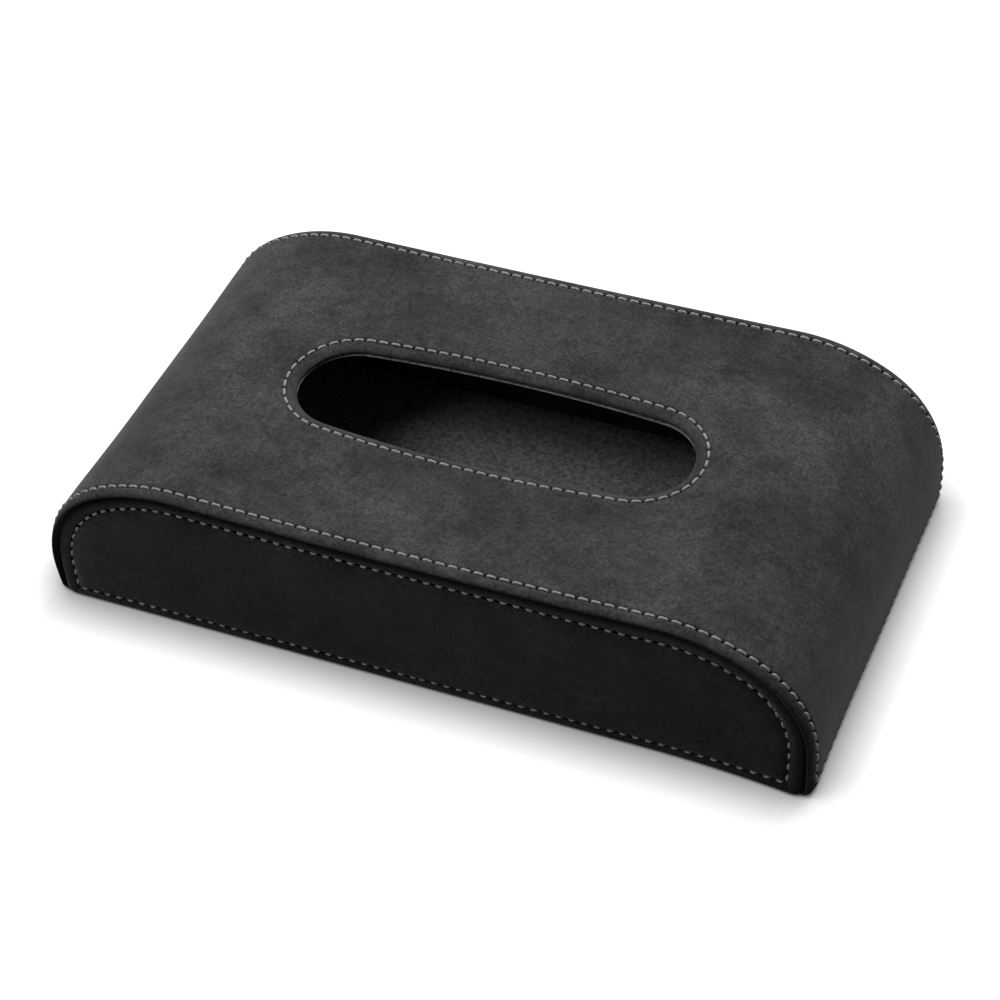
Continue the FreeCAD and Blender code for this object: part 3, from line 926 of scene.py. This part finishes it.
def hinge():
    """The strip that joins the flap to the back wall: a leg, a bend and a tongue, fine where it folds."""
    cover = sizes()
    low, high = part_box("hinge_strip")
    radius = cover.leather + cover.hinge_bend
    leg = high.z - low.z - radius
    tongue = high.y - low.y - radius
    outside = trace((high.y, high.z), -math.pi / 2, [(leg, 0), corner(radius), (tongue, 0)])
    fine = 4 * MM
    bent = outside.knots[2]
    along = [0.0]
    for end, steps in ((leg - fine, 3), (leg, 8), (bent, 6), (bent + fine, 24), (bent + tongue, 4)):
        along += np.linspace(along[-1], end, steps + 1)[1:].tolist()
    section = np.concatenate([outside.at(along), outside.at(along, -cover.leather)[::-1]])
    stations = []
    for x in np.linspace(low.x, high.x, num=80):
        uneven = waves(section + x, height=0.02 * MM, seed=3)
        stations.append(np.insert(section + uneven[:, None], 0, x, axis=1))
    last = len(section) - 1
    caps = [(k, k + 1, last - 1 - k, last - k) for k in range(len(along) - 1)]
    return swept("hinge_strip_leather", stations, caps)


def swept(name, stations, caps):
    """A closed shape through like sections, each a ring of points. caps are the faces of an end."""
    count = len(stations[0])
    faces = tube_faces(count, len(stations))
    for first in (0, (len(stations) - 1) * count):
        faces += [tuple(first + k for k in face) for face in caps]
    return new_piece(name, np.concatenate(stations), faces)


def ledge_wrap():
    """Suede glued round the ledge's board and over its ends, open where the ledge meets the wall."""
    thick = sizes().lining
    bend = sizes().ledge_bend
    uneven = 0.03 * MM
    low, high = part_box("ledge_cover")
    flat = high.y - low.y - bend
    upright = high.z - low.z - 2 * bend
    around = trace((low.y, high.z), 0, [(flat, 0), corner(bend), (upright, 0), corner(bend), (flat, 0)])
    along = np.union1d(np.linspace(0, around.length, num=40), around.knots)
    inside = around.at(along, -thick)[::-1]
    stations = []
    for share in np.linspace(-1, 1, num=120):
        here = np.stack([np.full(len(along), share * high.x), along], 1)
        outside = around.at(along, waves(here, uneven, seed=21, longest=40 * MM) - 2 * uneven)
        outer = np.insert(outside, 0, share * high.x, axis=1)
        inner = np.insert(inside, 0, share * (high.x - thick), axis=1)
        stations.append(sunk(np.concatenate([outer, inner])))
    count = len(along)
    mouth = (0, count - 1, count, 2 * count - 1)
    caps = [tuple(range(count)), tuple(range(count, 2 * count)), mouth]
    return swept("ledge_suede", stations, caps)


# Finishes

class Nodes:
    """A node tree under way."""

    def __init__(self, tree):
        self.tree = tree

    def add(self, kind, **settings):
        node = self.tree.nodes.new("ShaderNode" + kind)
        for name, value in settings.items():
            setattr(node, name, value)
        return node

    def feed(self, socket, value):
        if isinstance(value, bpy.types.NodeSocket):
            self.tree.links.new(value, socket)
        else:
            socket.default_value = value

    def maths(self, operation, *values):
        node = self.add("Math", operation=operation)
        for socket, value in zip(node.inputs, values):
            self.feed(socket, value)
        return node.outputs[0]

    def mixed(self, blend, factor, *pair):
        """A mix of two colours."""
        node = self.add("Mix", data_type="RGBA", blend_type=blend)
        self.feed(node.inputs["Factor"], factor)
        for socket, value in zip([socket for socket in node.inputs if socket.type == "RGBA"], pair):
            self.feed(socket, value)
        return [socket for socket in node.outputs if socket.type == "RGBA"][0]

    def seen_directly(self):
        """1 for rays that show the background: from the camera, in a mirror or through glass."""
        path = self.add("LightPath").outputs
        seen = self.maths("MAXIMUM", path["Is Camera Ray"], path["Is Glossy Ray"])
        return self.maths("MAXIMUM", seen, path["Is Transmission Ray"])


class Finish(Nodes):
    """A material under way, and the value that its colour is multiplied by."""

    def __init__(self, name, tint, roughness, **shader):
        self.material = bpy.data.materials.new(name)
        self.material.use_nodes = True
        super().__init__(self.material.node_tree)
        self.shader = self.tree.nodes["Principled BSDF"]
        for socket, value in {"Roughness": roughness, **shader}.items():
            self.shader.inputs[socket.replace("_", " ")].default_value = value
        self.tint = tint
        start = self.add("Mapping", name="start")
        start.inputs["Location"].default_value = colours().cloud_start
        self.feed(start.inputs["Vector"], self.add("TexCoord").outputs["Object"])
        self.coordinates = start.outputs[0]
        self.value = None
        self.height = None

    def noise(self, grain, detail=2.0, rough=0.5, stretch=(1, 1, 1)):
        """Noise whose grain is about so many metres across."""
        mapping = self.add("Mapping")
        node = self.add("TexNoise")
        self.feed(mapping.inputs["Vector"], self.coordinates)
        self.feed(node.inputs["Vector"], mapping.outputs[0])
        mapping.inputs["Scale"].default_value = stretch
        for name, value in (("Scale", 1 / grain), ("Detail", detail), ("Roughness", rough)):
            node.inputs[name].default_value = value
        return node.outputs["Fac"]

    def spread(self, source, low, high, start=0.3, end=0.7):
        """Maps a noise from start..end to low..high."""
        node = self.add("MapRange", interpolation_type="SMOOTHSTEP")
        self.feed(node.inputs["Value"], source)
        for name, value in (("From Min", start), ("From Max", end), ("To Min", low), ("To Max", high)):
            node.inputs[name].default_value = value
        return node.outputs["Result"]

    def shade(self, source):
        """Multiplies the colour by a value."""
        self.value = self.maths("MULTIPLY", self.value, source) if self.value else source

    def raise_by(self, source, weight):
        """Adds to the height that the surface's relief follows."""
        part = self.maths("MULTIPLY", source, weight)
        self.height = self.maths("ADD", self.height, part) if self.height else part

    def cloud(self, grain, darkest, palest, detail=2.0, rough=0.5):
        """Shades the colour by a noise, and hands the noise on."""
        noise = self.noise(grain, detail, rough)
        self.shade(self.spread(noise, darkest, palest))
        return noise

    def shade_where(self, mark, change):
        """Makes the colour paler, or darker, where a mark of the mesh is set."""
        marked = self.add("Attribute", attribute_name=mark).outputs["Fac"]
        self.shade(self.maths("ADD", 1, self.maths("MULTIPLY", marked, change)))

    def done(self, relief=0.1 * MM, strength=1.0):
        if self.value:
            colour_socket = self.shader.inputs["Base Color"]
            self.feed(colour_socket, self.mixed("MULTIPLY", 1, (*self.tint, 1), self.value))
        if self.height:
            bump = self.add("Bump")
            for name, value in (("Distance", relief), ("Strength", strength), ("Height", self.height)):
                self.feed(bump.inputs[name], value)
            self.feed(self.shader.inputs["Normal"], bump.outputs[0])
        return self.material


def suede_finish(name="suede", tint=None):
    """Sueded leather: cloudy where the nap lies different ways, grainy close to, with painted shade in its
    creases, at its needle holes and over its rolled rims.
    """
    nap = {"Sheen_Weight": 0.25, "Sheen_Roughness": 0.45, "Specular_IOR_Level": 0.06}
    look = Finish(name, tint or colours().suede, roughness=0.9, **nap)
    look.cloud(grain=44 * MM, darkest=0.80, palest=1.20, detail=3)
    look.cloud(grain=15 * MM, darkest=0.76, palest=1.24, detail=3, rough=0.6)
    look.cloud(grain=3.6 * MM, darkest=0.86, palest=1.15, detail=3, rough=0.6)
    fine = look.cloud(grain=1.1 * MM, darkest=0.52, palest=1.52, detail=4, rough=0.8)
    # Painted shade: darker at the needle holes and in the creases of the rows.
    look.shade_where("seam_shade", change=-0.6)
    # Painted shade over the rolled rims, which turn away from the light.
    look.shade_where("side", change=-0.7)
    look.raise_by(fine, weight=1)
    look.raise_by(look.noise(grain=0.5 * MM, rough=0.6), weight=0.6)
    return look.done(relief=0.12 * MM, strength=0.8)


def shaded_panel_finish():
    """The same leather on the two long sides, painted darker: a shaded copy that stands in for the shade on
    the sides.
    """
    return suede_finish("shaded_panel_suede", colours().panel)


def lining_finish():
    """Short-napped suede cloth, paler at its raw edges."""
    nap = {"Sheen_Weight": 0.2, "Sheen_Roughness": 0.5, "Specular_IOR_Level": 0.05}
    look = Finish("suede_lining", colours().lining, roughness=0.95, **nap)
    look.cloud(grain=30 * MM, darkest=0.92, palest=1.08, detail=3)
    fine = look.cloud(grain=1.4 * MM, darkest=0.42, palest=1.62, detail=4, rough=0.8)
    look.shade_where("side", change=0.5)
    look.raise_by(fine, weight=1)
    return look.done(relief=0.2 * MM, strength=0.9)


def thread_finish():
    """Bonded thread with fine fibres along it."""
    look = Finish("thread", colours().thread, roughness=0.55, Sheen_Weight=0.2, Sheen_Roughness=0.4)
    look.cloud(grain=11 * MM, darkest=0.88, palest=1.08)
    look.raise_by(look.cloud(grain=0.12 * MM, darkest=0.85, palest=1.1, rough=0.6), weight=1)
    return look.done(relief=0.03 * MM, strength=0.6)


def board_finish():
    """Black fibreboard, flecked and slightly rough."""
    look = Finish("fibreboard", colours().board, roughness=0.85)
    look.cloud(grain=0.8 * MM, darkest=0.8, palest=1.15, detail=4, rough=0.7)
    look.cloud(grain=12 * MM, darkest=0.92, palest=1.06)
    look.raise_by(look.noise(grain=0.5 * MM, detail=3), weight=1)
    return look.done(relief=0.08 * MM, strength=0.6)


def foam_finish():
    """Foam sheet with fine open cells."""
    look = Finish("foam", colours().foam, roughness=0.95)
    cells = look.add("TexVoronoi", feature="F1")
    cell_width = 0.7 * MM
    cells.inputs["Scale"].default_value = 1 / cell_width
    look.feed(cells.inputs["Vector"], look.coordinates)
    look.shade(look.spread(cells.outputs["Distance"], low=0.7, high=1.1, start=0.1, end=0.6))
    look.raise_by(cells.outputs["Distance"], weight=1)
    return look.done(relief=0.2 * MM, strength=0.7)


def magnet_finish():
    """Bright nickel plate with faint rubbing marks."""
    look = Finish("nickel", colours().magnet, roughness=0.3, Metallic=1.0)
    rubbed = look.noise(grain=0.6 * MM, detail=3, stretch=(1, 0.15, 1))
    look.shade(look.spread(rubbed, low=0.9, high=1.05))
    look.feed(look.shader.inputs["Roughness"], look.spread(rubbed, low=0.2, high=0.4))
    return look.done()


FINISHES = {
    "suede_leather": suede_finish,
    "shaded_panel_suede": shaded_panel_finish,
    "suede_lining": lining_finish,
    "topstitch_thread": thread_finish,
    "stiff_board": board_finish,
    "foam_sheet": foam_finish,
    "magnet_steel": magnet_finish,
}
made_finishes = {}


def finish_of(slot):
    if slot not in made_finishes:
        made_finishes[slot] = FINISHES[slot]()
    return made_finishes[slot]


def sew(name, rows, place, body, gap):
    """The thread of some rows, in place of the node of that name."""
    piece = stitches(name + "_thread", rows, place, gap)
    return dress(piece, "topstitch_thread", body, name + "_stitching")


def dress(piece, slot, body, *nodes):
    """Gives a piece its finish, the body that it moves with and the nodes that it stands for."""
    piece.data.materials.clear()
    piece.data.materials.append(finish_of(slot))
    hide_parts(*nodes)
    if body:
        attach(piece, body)
    return piece


# Operators: one for each piece or group of like pieces

class COVER_OT_band_skin(bpy.types.Operator):
    """Stretch the leather over the band and turn its edges"""

    bl_idname = "cover.band_skin"
    bl_label = "Band Leather"

    def execute(self, context):
        cover = sizes()
        piece = dress(band_skin(), "suede_leather", SHELL, "band_leather")
        cut = 2 * skin_line().length, cover.depth + 2 * cover.edge_turn + math.pi * cover.leather
        return {"FINISHED"}


class COVER_OT_band_layers(bpy.types.Operator):
    """Lay foam, board and suede lining inside the band"""

    bl_idname = "cover.band_layers"
    bl_label = "Band Foam, Board and Lining"

    def execute(self, context):
        cover = sizes()
        board = 2 * cover.leather
        lining = board + cover.band_board
        back = lining + cover.lining
        half = cover.depth / 2 - cover.edge_turn
        inside = wall_inside()
        foam = band_layer("band_foam_sheet", cover.leather, board, half, cover.foot_radius, cover.edge_turn)
        dress(foam, "foam_sheet", SHELL, "band_foam")
        stiff = band_layer("band_fibreboard", board, lining, inside, cover.leather, cover.board_setback)
        dress(stiff, "stiff_board", SHELL, "band_board")
        suede = band_layer("band_lining_suede", lining, back, inside, cover.leather, cover.lining_setback)
        dress(suede, "suede_lining", SHELL, "band_lining")
        cut = 2 * wall_line().length, 2 * inside
        return {"FINISHED"}


class COVER_OT_band_sewing(bpy.types.Operator):
    """Sew the edge rows, the hem rows and the row round the slot"""

    bl_idname = "cover.band_sewing"
    bl_label = "Band Stitching"

    def execute(self, context):
        place = band_place(skin_line())
        names = ["left_hem", "band_back", "right_hem", "band_front", "slot"]
        for name, row in zip(names, [*band_rows(), slot_row()]):
            sew(name, [row], place, SHELL, sewing().gap)
        return {"FINISHED"}


class COVER_OT_side_panels(bpy.types.Operator):
    """Cover the two long side panels and fill them with foam, board and lining"""

    bl_idname = "cover.side_panels"
    bl_label = "Side Panels"

    def execute(self, context):
        cover = sizes()
        inner = cover.panel_inset + cover.leather
        inset = cover.panel_inset + cover.panel_lining_inset
        board = cover.leather + cover.panel_foam
        back = cover.panel_shell + cover.lining
        for end, side in (("front", -1), ("back", 1)):
            panel = end + "_panel_"
            piece = dress(panel_skin(panel + "skin", side), "suede_leather", SHELL, panel + "leather")
            # The panels' painted darker suede, which stands in for shade on the sides.
            piece.data.materials[0] = finish_of("shaded_panel_suede")
            foam = panel_layer(panel + "foam_sheet", side, cover.leather, board, inner)
            dress(foam, "foam_sheet", SHELL, panel + "foam")
            stiff = panel_layer(panel + "fibreboard", side, board, cover.panel_shell, inner)
            dress(stiff, "stiff_board", SHELL, panel + "board")
            suede = panel_layer(panel + "lining_suede", side, cover.panel_shell, back, inset)
            dress(suede, "suede_lining", SHELL, panel + "lining")
        return {"FINISHED"}


class COVER_OT_panel_sewing(bpy.types.Operator):
    """Sew the row round each side panel"""

    bl_idname = "cover.panel_sewing"
    bl_label = "Side Panel Stitching"

    def execute(self, context):
        for end, side in (("front", -1), ("back", 1)):
            place = panel_place(side, flared=True)

            def pulled_in(points, depth):
                return place(points, depth + sewing().panel_sink)
            sew(end + "_panel", panel_rows(), pulled_in, SHELL, sewing().panel_gap)
        return {"FINISHED"}


class COVER_OT_ledge(bpy.types.Operator):
    """Wrap the ledge that the flap closes against"""

    bl_idname = "cover.ledge"
    bl_label = "Ledge"

    def execute(self, context):
        piece = dress(ledge_wrap(), "suede_lining", SHELL, "ledge_cover")
        return {"FINISHED"}


class COVER_OT_flap(bpy.types.Operator):
    """Cover the base flap in leather below and suede above"""

    bl_idname = "cover.flap"
    bl_label = "Base Flap"

    def execute(self, context):
        leather = dress(flap_skin(), "suede_leather", FLAP, "flap_leather")
        suede = dress(flap_lining(), "suede_lining", FLAP, "flap_lining")
        return {"FINISHED"}


class COVER_OT_flap_sewing(bpy.types.Operator):
    """Sew the row round the underside of the flap"""

    bl_idname = "cover.flap_sewing"
    bl_label = "Base Flap Stitching"

    def execute(self, context):
        sew("flap", flap_rows(), flap_place, FLAP, sewing().gap)
        return {"FINISHED"}


class COVER_OT_hinge(bpy.types.Operator):
    """Glue in the leather strip that the flap swings on"""

    bl_idname = "cover.hinge"
    bl_label = "Leather Hinge"

    def execute(self, context):
        piece = dress(hinge(), "suede_leather", None, "hinge_strip")
        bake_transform(piece)
        return {"FINISHED"}


class COVER_OT_carried(bpy.types.Operator):
    """Finish the boards and magnets that are kept as they are built"""

    bl_idname = "cover.carried"
    bl_label = "Boards and Magnets"

    def execute(self, context):
        slots = {part["node"]: part["material_slot"] for part in frame["record"]["subparts"]}
        for name, node in frame["nodes"].items():
            if node.hide_render:
                continue
            node.data.materials.clear()
            node.data.materials.append(finish_of(slots[name]))
        return {"FINISHED"}


class COVER_OT_studio(bpy.types.Operator):
    """Set the pale table, the soft lamps and the camera"""

    bl_idname = "cover.studio"
    bl_label = "Studio"

    def execute(self, context):
        lay_floor()
        light_sky()
        hang_lamp("key_lamp", studio().key_place, studio().key_width, studio().key)
        hang_lamp("side_lamp", studio().side_place, studio().side_width, studio().side)
        aim_camera(context.scene)
        context.scene.view_settings.view_transform = "Standard"
        return {"FINISHED"}


# Studio

def lay_floor():
    """A wide table. It looks white, gives little light back to the cover, keeps the lamps' shadows, and has a
    painted shadow where its glow fades near the cover.
    """
    reach = studio().floor_reach
    corners = [(-reach, -reach, 0), (reach, -reach, 0), (reach, reach, 0), (-reach, reach, 0)]
    floor = new_piece("floor", np.array(corners), [(0, 1, 2, 3)])
    material = bpy.data.materials.new("table")
    material.use_nodes = True
    nodes = Nodes(material.node_tree)
    nodes.tree.nodes.clear()
    shown = nodes.seen_directly()
    shades = [(*shade, 1) for shade in (colours().dark_floor, colours().floor)]
    diffuse = nodes.add("BsdfDiffuse")
    nodes.feed(diffuse.inputs["Color"], nodes.mixed("MIX", shown, *shades))
    # Painted shadow: ambient occlusion, squared, dims the glow close to the cover.
    sky = nodes.add("AmbientOcclusion")
    nodes.feed(sky.inputs["Distance"], studio().painted_shadow_reach)
    strength = shown
    for factor in (sky.outputs["AO"], sky.outputs["AO"], studio().glow):
        strength = nodes.maths("MULTIPLY", strength, factor)
    glow = nodes.add("Emission")
    nodes.feed(glow.inputs["Strength"], strength)
    total = nodes.add("AddShader")
    nodes.feed(total.inputs[0], diffuse.outputs[0])
    nodes.feed(total.inputs[1], glow.outputs[0])
    nodes.feed(nodes.add("OutputMaterial").inputs["Surface"], total.outputs[0])
    floor.data.materials.append(material)
    floor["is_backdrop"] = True


def light_sky():
    """An even sky: white where it is seen, and dim as a light."""
    world = bpy.data.worlds.new("studio_sky")
    bpy.context.scene.world = world
    world.use_nodes = True
    nodes = Nodes(world.node_tree)
    background = nodes.tree.nodes["Background"]
    background.inputs["Color"].default_value = (1, 1, 1, 1)
    light = nodes.add("MapRange")
    for name, value in (("Value", nodes.seen_directly()), ("To Min", studio().sky), ("To Max", 1)):
        nodes.feed(light.inputs[name], value)
    nodes.feed(background.inputs["Strength"], light.outputs["Result"])


def hang_lamp(name, place, width, watts):
    """A square soft lamp that faces the middle of the cover."""
    lamp = bpy.data.lights.new(name, "AREA")
    lamp.shape = "SQUARE"
    lamp.size = width
    lamp.energy = watts
    holder = bpy.data.objects.new(name, lamp)
    holder.location = place
    holder.rotation_mode = "QUATERNION"
    holder.rotation_quaternion = (-Vector(place)).to_track_quat("-Z", "Y")
    bpy.context.scene.collection.objects.link(holder)


def aim_camera(scene):
    """The photograph's view: round to the right, from above, and a little tilted."""
    view = studio()
    level = Vector((math.cos(view.azimuth), math.sin(view.azimuth), 0))
    ahead = Vector((-level.y, level.x, 0)) * math.cos(view.elevation)
    ahead.z = -math.sin(view.elevation)
    down = ahead.cross(level)
    right = level * math.cos(view.roll) + down * math.sin(view.roll)
    up = right.cross(ahead)
    camera = bpy.data.objects.new("camera", bpy.data.cameras.new("camera"))
    camera.data.sensor_width = view.film
    camera.data.lens = view.lens
    turn = Matrix((right, up, -ahead)).transposed()
    camera.matrix_world = Matrix.Translation(Vector(view.target) - ahead * view.distance) @ turn.to_4x4()
    scene.collection.objects.link(camera)
    scene.camera = camera


# Panel and registration

OPERATORS = [
    COVER_OT_band_skin,
    COVER_OT_band_layers,
    COVER_OT_band_sewing,
    COVER_OT_side_panels,
    COVER_OT_panel_sewing,
    COVER_OT_ledge,
    COVER_OT_flap,
    COVER_OT_flap_sewing,
    COVER_OT_hinge,
    COVER_OT_carried,
    COVER_OT_studio,
]


class COVER_PT_maker(bpy.types.Panel):
    """Lists the steps that dress the cover"""

    bl_idname = "COVER_PT_maker"
    bl_label = "Box Cover"
    bl_space_type = "VIEW_3D"
    bl_region_type = "UI"
    bl_category = "Box Cover"

    def draw(self, context):
        for operator in OPERATORS:
            self.layout.operator(operator.bl_idname)
        for name in ("cover_sizes", "cover_sewing", "cover_colours", "cover_studio"):
            group = getattr(context.scene, name)
            box = self.layout.box()
            for key in group.bl_rna.properties.keys():
                if key not in ("rna_type", "name"):
                    box.prop(group, key)


GROUPS = {
    "cover_sizes": CoverSizes,
    "cover_sewing": SewingSizes,
    "cover_colours": CoverColours,
    "cover_studio": StudioSettings,
}


def register():
    for group in (*GROUPS.values(), *OPERATORS, COVER_PT_maker):
        bpy.utils.register_class(group)
    for name, group in GROUPS.items():
        setattr(bpy.types.Scene, name, PointerProperty(type=group))


def unregister():
    for name in GROUPS:
        delattr(bpy.types.Scene, name)
    for group in reversed((*GROUPS.values(), *OPERATORS, COVER_PT_maker)):
        bpy.utils.unregister_class(group)


def main():
    register()
    for operator in OPERATORS:
        family, name = operator.bl_idname.split(".")
        getattr(getattr(bpy.ops, family), name)()
    boxes = {"cad": CAD_BOX, "visual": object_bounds()}
    corners = {name: [list(corner) for corner in box] for name, box in boxes.items()}


if __name__ == "__main__":
    main()
